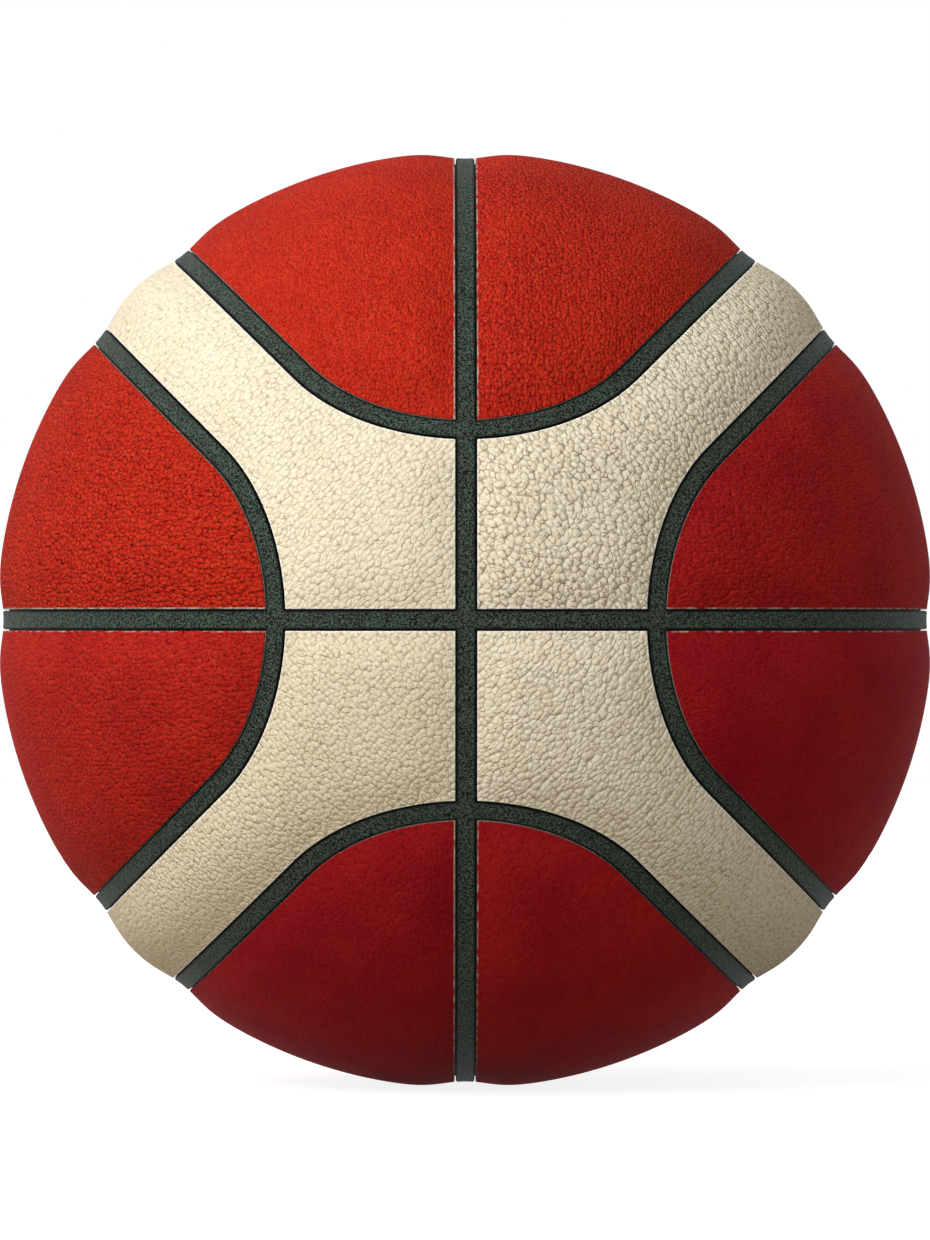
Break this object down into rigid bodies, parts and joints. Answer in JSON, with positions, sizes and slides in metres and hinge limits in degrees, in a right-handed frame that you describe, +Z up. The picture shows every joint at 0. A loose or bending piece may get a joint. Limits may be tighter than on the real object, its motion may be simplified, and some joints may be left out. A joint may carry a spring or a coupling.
{
  "type": "basketball",
  "caption": "Round leather basketball with red and cream panels, black rubber seam ribs and a needle valve; bounced, thrown and inflated.",
  "frame": {"origin": "centre of the ball", "axes": "+Z up through the top oval, -Y through the seam crossing that faces the viewer, +X through the oval on the viewer's right"},
  "size_m": [0.238, 0.237, 0.238],
  "materials": {
    "red_leather": "pebbled full-grain leather, satin",
    "cream_leather": "pebbled full-grain leather, satin",
    "rib_rubber": "pebbled rubber, slight sheen",
    "cover_rubber": "moulded rubber, matte",
    "nylon_thread": "wound nylon thread set in latex",
    "bladder_rubber": "butyl rubber, matte",
    "valve_rubber": "moulded rubber, smooth",
    "backing_foam": "closed-cell foam"
  },
  "bodies": {
    "root": {"bladder": "bladder_rubber", "winding": "nylon_thread", "cover_rubber": "cover_rubber", "seam_ribs": "rib_rubber", "valve_seat": "valve_rubber", "valve_plug": "valve_rubber", "red_panel_right_upper": "red_leather", "red_panel_right_lower": "red_leather", "red_panel_top_left": "red_leather", "red_panel_top_right": "red_leather", "red_panel_left_lower": "red_leather", "red_panel_left_upper": "red_leather", "red_panel_bottom_right": "red_leather", "red_panel_bottom_left": "red_leather", "cream_panel_upper_right": "cream_leather", "cream_panel_upper_left": "cream_leather", "cream_panel_lower_left": "cream_leather", "cream_panel_lower_right": "cream_leather", "foam_pad_red_right_upper": "backing_foam", "foam_pad_red_right_lower": "backing_foam", "foam_pad_red_top_left": "backing_foam", "foam_pad_red_top_right": "backing_foam", "foam_pad_red_left_lower": "backing_foam", "foam_pad_red_left_upper": "backing_foam", "foam_pad_red_bottom_right": "backing_foam", "foam_pad_red_bottom_left": "backing_foam", "foam_pad_cream_upper_right": "backing_foam", "foam_pad_cream_upper_left": "backing_foam", "foam_pad_cream_lower_left": "backing_foam", "foam_pad_cream_lower_right": "backing_foam"}
  },
  "joints": []
}
